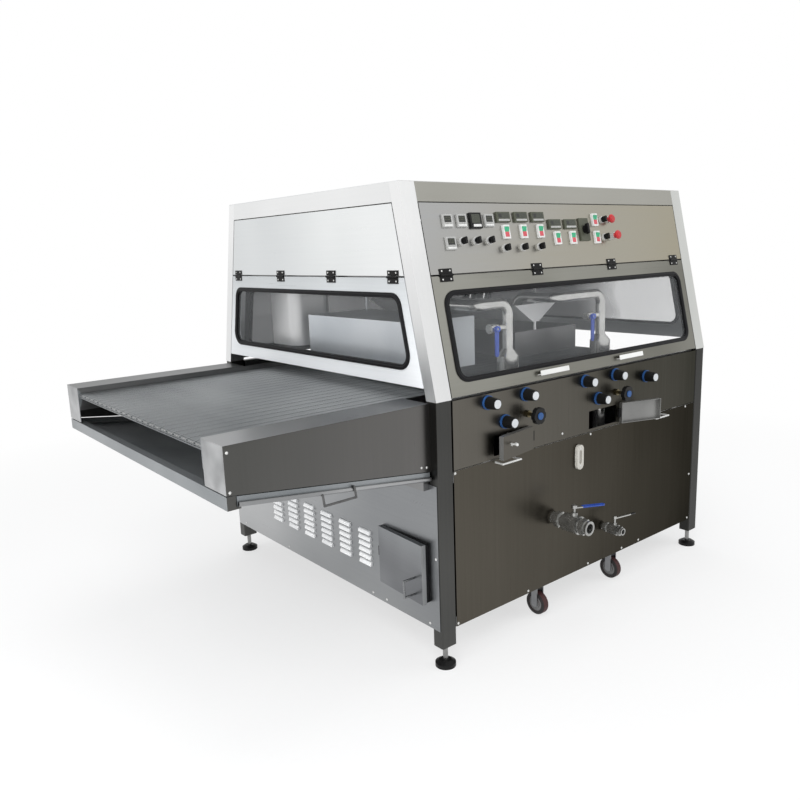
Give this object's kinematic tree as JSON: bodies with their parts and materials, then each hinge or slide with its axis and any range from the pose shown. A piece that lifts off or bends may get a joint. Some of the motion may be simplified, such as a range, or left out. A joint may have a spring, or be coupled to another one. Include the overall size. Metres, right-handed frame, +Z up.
{
  "type": "chocolate enrober",
  "caption": "Stainless chocolate enrober: a wire belt runs through a cabinet with a leaning windowed hood, past chocolate curtains, with a sloping control panel and front valves.",
  "frame": {"origin": "on the floor, under the middle of the whole machine's box", "axes": "+X along the belt towards the outfeed end, +Y from the operator's front to the rear, +Z up"},
  "size_m": [2.594, 1.8243, 1.805],
  "materials": {
    "frame_steel": "brushed stainless",
    "light_sheet": "satin stainless",
    "panel_sheet": "satin stainless",
    "front_sheet": "satin stainless",
    "end_sheet": "satin stainless",
    "conveyor_sheet": "satin stainless",
    "tank_sheet": "satin stainless",
    "belt_wire": "woven wire",
    "polished_tube": "polished stainless",
    "zinc": "zinc plated",
    "foot_rubber": "matt",
    "gasket_rubber": "matt",
    "castor_tread": "matt",
    "black_hinge": "satin black",
    "black_plastic": "satin black",
    "instrument_plastic": "fine grain",
    "white_plastic": "smooth",
    "green_plastic": "smooth",
    "red_plastic": "smooth",
    "blue_lever": "vinyl sleeve"
  },
  "bodies": {
    "cabinet": {"main_frame": "frame_steel", "sheet_panels": "light_sheet", "control_panel": "panel_sheet", "front_middle_panel": "front_sheet", "front_lower_panel": "front_sheet", "left_lower_panel": "end_sheet", "levelling_feet": "foot_rubber", "castor_forks": "zinc", "conveyor_frame": "conveyor_sheet", "wire_belt": "belt_wire", "chocolate_tank": "tank_sheet", "pipework": "polished_tube", "coating_head": "tank_sheet", "panel_instruments": "instrument_plastic", "level_gauge": "white_plastic", "door_hinges": "black_hinge", "fixed_windows": "gasket_rubber"},
    "front_door": {"front_door": "frame_steel", "front_window": "gasket_rubber"},
    "left_door": {"left_door": "light_sheet", "left_window": "gasket_rubber"},
    "front_hatch_1": {"front_hatch_1": "front_sheet"},
    "front_hatch_2": {"front_hatch_2": "front_sheet"},
    "end_hatch": {"end_hatch": "end_sheet"},
    "drip_tray": {"drip_tray": "light_sheet"},
    "drive_shaft": {"drive_shaft": "polished_tube"},
    "nose_roller": {"nose_roller": "polished_tube"},
    "front_wheels": {"front_wheels": "castor_tread"},
    "rear_wheels": {"rear_wheels": "castor_tread"},
    "main_switch_lever": {"main_switch_lever": "black_plastic"},
    "drain_lever": {"drain_lever": "blue_lever"},
    "sample_lever": {"sample_lever": "polished_tube"},
    "handwheel_1": {"handwheel_1": "black_plastic"},
    "handwheel_2": {"handwheel_2": "black_plastic"},
    "riser_lever_1": {"riser_lever_1": "blue_lever"},
    "riser_lever_2": {"riser_lever_2": "blue_lever"},
    "mushroom_button_1": {"mushroom_button_1": "red_plastic"},
    "mushroom_button_2": {"mushroom_button_2": "red_plastic"},
    "rocker_1": {"rocker_1": "green_plastic"},
    "rocker_2": {"rocker_2": "green_plastic"},
    "rocker_3": {"rocker_3": "green_plastic"},
    "rocker_4": {"rocker_4": "green_plastic"},
    "rocker_5": {"rocker_5": "green_plastic"},
    "rocker_6": {"rocker_6": "green_plastic"},
    "rocker_7": {"rocker_7": "green_plastic"},
    "selector_1": {"selector_1": "black_plastic"},
    "selector_2": {"selector_2": "black_plastic"},
    "selector_3": {"selector_3": "black_plastic"},
    "selector_4": {"selector_4": "black_plastic"},
    "selector_5": {"selector_5": "black_plastic"},
    "selector_6": {"selector_6": "black_plastic"},
    "selector_7": {"selector_7": "black_plastic"},
    "selector_8": {"selector_8": "black_plastic"},
    "knob_1": {"knob_1": "black_plastic"},
    "knob_2": {"knob_2": "black_plastic"},
    "knob_3": {"knob_3": "black_plastic"},
    "knob_4": {"knob_4": "black_plastic"},
    "knob_5": {"knob_5": "black_plastic"},
    "knob_6": {"knob_6": "black_plastic"},
    "knob_7": {"knob_7": "black_plastic"}
  },
  "joints": [
    {"name": "front_door_hinge", "type": "hinge", "parent": "cabinet", "child": "front_door", "pos_m": [0.396, -0.63425, 1.47198], "axis": [-1, 0, 0], "range_deg": [0, 80]},
    {"name": "left_door_hinge", "type": "hinge", "parent": "cabinet", "child": "left_door", "pos_m": [-0.5055, 0.08575, 1.471], "axis": [0, 1, 0], "range_deg": [0, 85]},
    {"name": "front_hatch_1_hinge", "type": "hinge", "parent": "cabinet", "child": "front_hatch_1", "pos_m": [-0.007, -0.73775, 0.822], "axis": [0, 0, 1], "range_deg": [-9, 150]},
    {"name": "front_hatch_2_hinge", "type": "hinge", "parent": "cabinet", "child": "front_hatch_2", "pos_m": [0.577, -0.73775, 0.822], "axis": [0, 0, 1], "range_deg": [-161, 0]},
    {"name": "end_hatch_hinge", "type": "hinge", "parent": "cabinet", "child": "end_hatch", "pos_m": [-0.5115, -0.37725, 0.3735], "axis": [0, 0, -1], "range_deg": [-3, 115]},
    {"name": "drip_tray_slide", "type": "slide", "parent": "cabinet", "child": "drip_tray", "axis": [0, -1, 0], "range_m": [0, 0.6]},
    {"name": "drive_shaft_spin", "type": "hinge", "parent": "cabinet", "child": "drive_shaft", "pos_m": [1.149, 0.08575, 0.9506], "axis": [0, 1, 0], "continuous": true},
    {"name": "nose_roller_spin", "type": "hinge", "parent": "cabinet", "child": "nose_roller", "pos_m": [-1.281, 0.08575, 0.9926], "axis": [0, 1, 0], "continuous": true},
    {"name": "front_wheels_spin", "type": "hinge", "parent": "cabinet", "child": "front_wheels", "pos_m": [0.3675, -0.67025, 0.053], "axis": [1, 0, 0], "continuous": true},
    {"name": "rear_wheels_spin", "type": "hinge", "parent": "cabinet", "child": "rear_wheels", "pos_m": [0.3675, 0.84175, 0.053], "axis": [1, 0, 0], "continuous": true},
    {"name": "main_switch_turn", "type": "hinge", "parent": "cabinet", "child": "main_switch_lever", "pos_m": [0.488, -0.60268, 1.62477], "axis": [0, 0.9759, -0.218], "range_deg": [0, 90]},
    {"name": "drain_lever_turn", "type": "hinge", "parent": "cabinet", "child": "drain_lever", "pos_m": [0.139, -0.83455, 0.5174], "axis": [0, 0, 1], "range_deg": [-62, 28]},
    {"name": "sample_lever_turn", "type": "hinge", "parent": "cabinet", "child": "sample_lever", "pos_m": [0.484, -0.78931, 0.3682], "axis": [0, 0, 1], "range_deg": [-79, 11]},
    {"name": "handwheel_1_turn", "type": "hinge", "parent": "cabinet", "child": "handwheel_1", "pos_m": [-0.023, -0.72725, 0.918], "axis": [0, -1, 0], "range_deg": [-540, 540]},
    {"name": "handwheel_2_turn", "type": "hinge", "parent": "cabinet", "child": "handwheel_2", "pos_m": [0.561, -0.72725, 0.918], "axis": [0, -1, 0], "range_deg": [-540, 540]},
    {"name": "riser_lever_1_turn", "type": "hinge", "parent": "cabinet", "child": "riser_lever_1", "pos_m": [-0.081, -0.62525, 1.25], "axis": [0, 1, 0], "range_deg": [0, 90]},
    {"name": "riser_lever_2_turn", "type": "hinge", "parent": "cabinet", "child": "riser_lever_2", "pos_m": [0.528, -0.62525, 1.25], "axis": [0, 1, 0], "range_deg": [0, 90]},
    {"name": "mushroom_button_1_press", "type": "slide", "parent": "cabinet", "child": "mushroom_button_1", "axis": [0, 0.9759, -0.218], "range_m": [0, 0.005], "stiffness_N_per_m": 800},
    {"name": "mushroom_button_2_press", "type": "slide", "parent": "cabinet", "child": "mushroom_button_2", "axis": [0, 0.9759, -0.218], "range_m": [0, 0.005], "stiffness_N_per_m": 800},
    {"name": "rocker_1_tilt", "type": "hinge", "parent": "cabinet", "child": "rocker_1", "pos_m": [-0.002, -0.60258, 1.62065], "axis": [-1, 0, 0], "range_deg": [0, 14]},
    {"name": "rocker_2_tilt", "type": "hinge", "parent": "cabinet", "child": "rocker_2", "pos_m": [0.099, -0.60258, 1.62065], "axis": [-1, 0, 0], "range_deg": [0, 14]},
    {"name": "rocker_3_tilt", "type": "hinge", "parent": "cabinet", "child": "rocker_3", "pos_m": [0.2, -0.60258, 1.62065], "axis": [-1, 0, 0], "range_deg": [0, 14]},
    {"name": "rocker_4_tilt", "type": "hinge", "parent": "cabinet", "child": "rocker_4", "pos_m": [0.301, -0.60912, 1.59137], "axis": [-1, 0, 0], "range_deg": [0, 14]},
    {"name": "rocker_5_tilt", "type": "hinge", "parent": "cabinet", "child": "rocker_5", "pos_m": [0.402, -0.60912, 1.59137], "axis": [-1, 0, 0], "range_deg": [0, 14]},
    {"name": "rocker_6_tilt", "type": "hinge", "parent": "cabinet", "child": "rocker_6", "pos_m": [0.568, -0.59277, 1.66457], "axis": [-1, 0, 0], "range_deg": [0, 14]},
    {"name": "rocker_7_tilt", "type": "hinge", "parent": "cabinet", "child": "rocker_7", "pos_m": [0.568, -0.60933, 1.5904], "axis": [-1, 0, 0], "range_deg": [0, 14]},
    {"name": "selector_1_turn", "type": "hinge", "parent": "cabinet", "child": "selector_1", "pos_m": [-0.2454, -0.6037, 1.58811], "axis": [0, 0.9759, -0.218], "range_deg": [-45, 45]},
    {"name": "selector_2_turn", "type": "hinge", "parent": "cabinet", "child": "selector_2", "pos_m": [-0.1734, -0.6037, 1.58811], "axis": [0, 0.9759, -0.218], "range_deg": [-45, 45]},
    {"name": "selector_3_turn", "type": "hinge", "parent": "cabinet", "child": "selector_3", "pos_m": [-0.1014, -0.6037, 1.58811], "axis": [0, 0.9759, -0.218], "range_deg": [-45, 45]},
    {"name": "selector_4_turn", "type": "hinge", "parent": "cabinet", "child": "selector_4", "pos_m": [-0.02, -0.61045, 1.55786], "axis": [0, 0.9759, -0.218], "range_deg": [-45, 45]},
    {"name": "selector_5_turn", "type": "hinge", "parent": "cabinet", "child": "selector_5", "pos_m": [0.081, -0.61045, 1.55786], "axis": [0, 0.9759, -0.218], "range_deg": [-45, 45]},
    {"name": "selector_6_turn", "type": "hinge", "parent": "cabinet", "child": "selector_6", "pos_m": [0.182, -0.61045, 1.55786], "axis": [0, 0.9759, -0.218], "range_deg": [-45, 45]},
    {"name": "selector_7_turn", "type": "hinge", "parent": "cabinet", "child": "selector_7", "pos_m": [0.622, -0.58691, 1.66326], "axis": [0, 0.9759, -0.218], "range_deg": [-45, 45]},
    {"name": "selector_8_turn", "type": "hinge", "parent": "cabinet", "child": "selector_8", "pos_m": [0.622, -0.60348, 1.58909], "axis": [0, 0.9759, -0.218], "range_deg": [-45, 45]},
    {"name": "knob_1_turn", "type": "hinge", "parent": "cabinet", "child": "knob_1", "pos_m": [-0.246, -0.72725, 0.998], "axis": [0, -1, 0], "range_deg": [-150, 150]},
    {"name": "knob_2_turn", "type": "hinge", "parent": "cabinet", "child": "knob_2", "pos_m": [-0.035, -0.72725, 0.998], "axis": [0, -1, 0], "range_deg": [-150, 150]},
    {"name": "knob_3_turn", "type": "hinge", "parent": "cabinet", "child": "knob_3", "pos_m": [-0.153, -0.72725, 0.91], "axis": [0, -1, 0], "range_deg": [-150, 150]},
    {"name": "knob_4_turn", "type": "hinge", "parent": "cabinet", "child": "knob_4", "pos_m": [0.338, -0.72725, 0.998], "axis": [0, -1, 0], "range_deg": [-150, 150]},
    {"name": "knob_5_turn", "type": "hinge", "parent": "cabinet", "child": "knob_5", "pos_m": [0.549, -0.72725, 0.998], "axis": [0, -1, 0], "range_deg": [-150, 150]},
    {"name": "knob_6_turn", "type": "hinge", "parent": "cabinet", "child": "knob_6", "pos_m": [0.431, -0.72725, 0.91], "axis": [0, -1, 0], "range_deg": [-150, 150]},
    {"name": "knob_7_turn", "type": "hinge", "parent": "cabinet", "child": "knob_7", "pos_m": [0.786, -0.72725, 0.959], "axis": [0, -1, 0], "range_deg": [-150, 150]}
  ],
  "couplings": [
    {"joint": "nose_roller_spin", "follows": "drive_shaft_spin", "ratio": 6.25}
  ]
}
